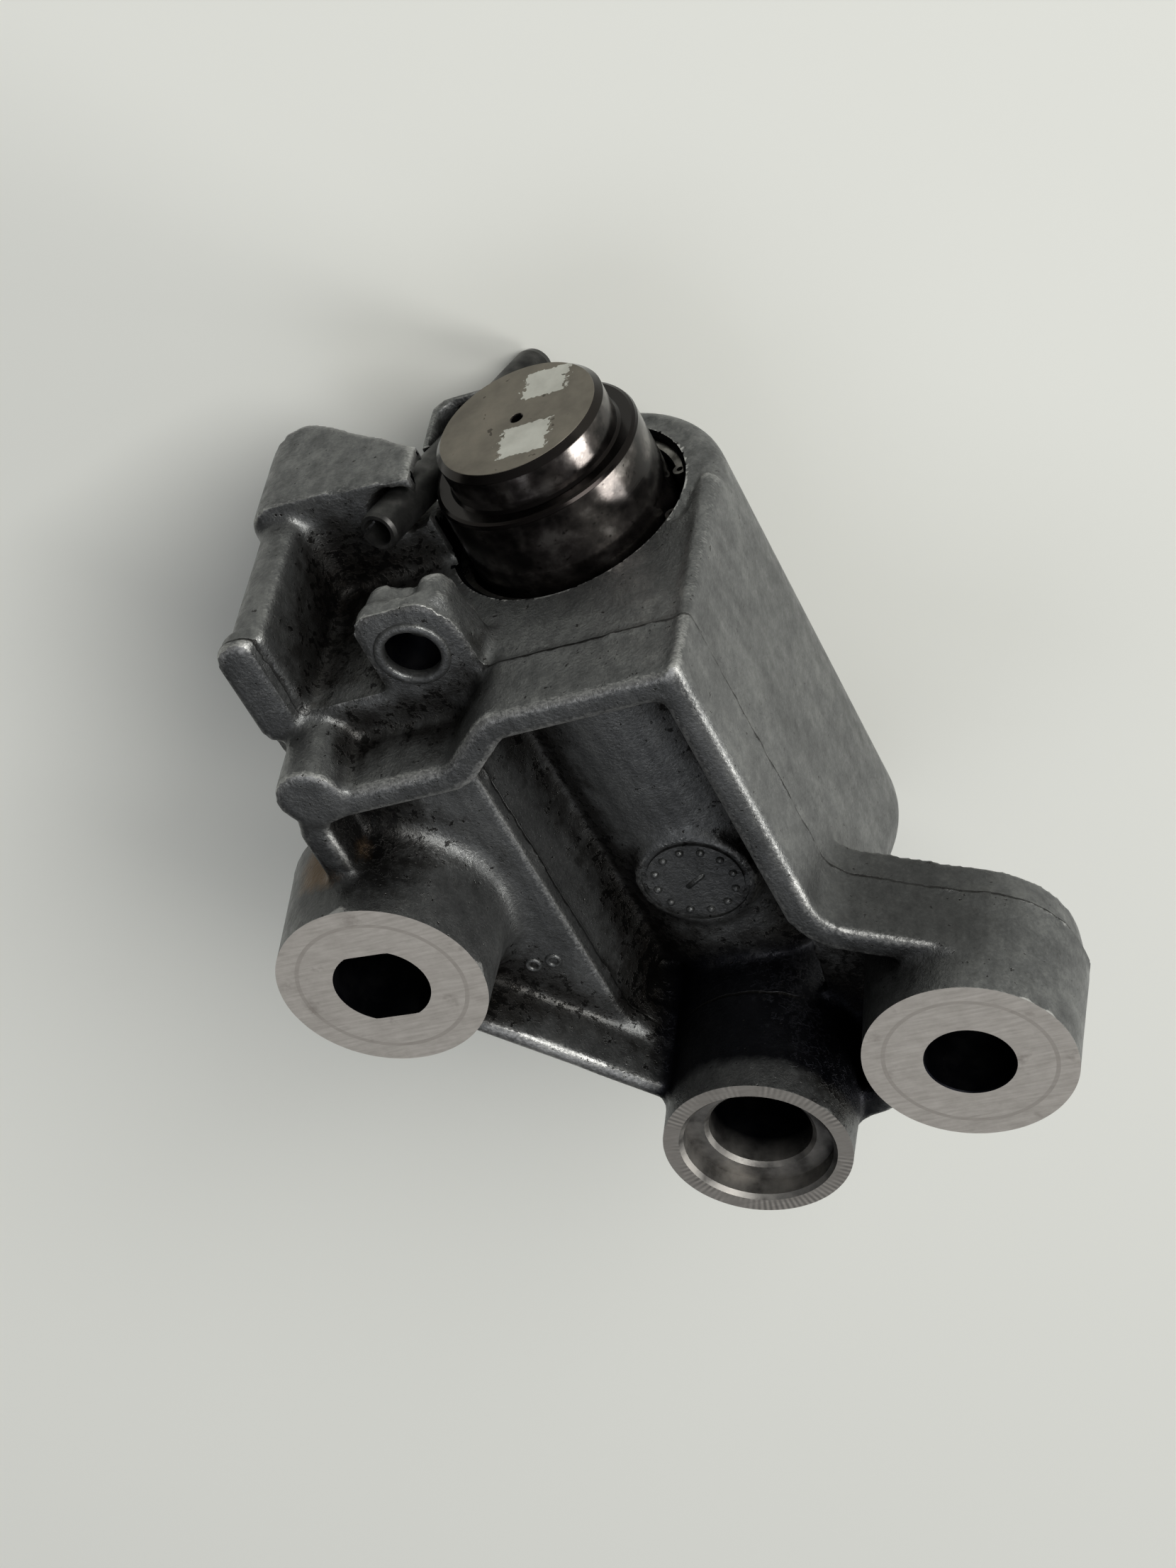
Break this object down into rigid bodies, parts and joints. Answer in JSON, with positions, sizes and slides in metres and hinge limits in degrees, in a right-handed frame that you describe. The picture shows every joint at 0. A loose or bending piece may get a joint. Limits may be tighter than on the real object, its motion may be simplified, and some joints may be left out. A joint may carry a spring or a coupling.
{
  "type": "timing chain tensioner",
  "caption": "Hydraulic timing chain tensioner: die-cast body with bolt bosses, oil port and side bracket, and a sprung steel plunger that slides out of its barrel.",
  "frame": {"origin": "centre of the round bolt hole at the mounting face", "axes": "+Z out of the mounting face, +Y the way the plunger moves out, +X towards the round-hole boss"},
  "size_m": [0.0557, 0.0615, 0.0433],
  "materials": {
    "cast_aluminium": "satin",
    "plunger_steel": "satin",
    "spring_steel": "satin",
    "pin_steel": "satin",
    "valve_steel": "satin"
  },
  "bodies": {
    "body": {"housing": "cast_aluminium", "snap_ring": "spring_steel", "spring_pin": "pin_steel", "valve_seat": "valve_steel", "valve_cage": "valve_steel", "plunger_spring": "spring_steel", "valve_spring": "spring_steel"},
    "plunger": {"plunger": "plunger_steel"},
    "check_ball": {"check_ball": "valve_steel"}
  },
  "joints": [
    {"name": "plunger_slide", "type": "slide", "parent": "body", "child": "plunger", "axis": [0, 1, 0], "range_m": [-0.007, 0.01], "stiffness_N_per_m": 2000, "deforming": ["plunger_spring"]},
    {"name": "ball_lift", "type": "slide", "parent": "body", "child": "check_ball", "axis": [0, 1, 0], "range_m": [0, 0.0008], "stiffness_N_per_m": 60, "springref_m": -0.001, "deforming": ["valve_spring"]}
  ]
}
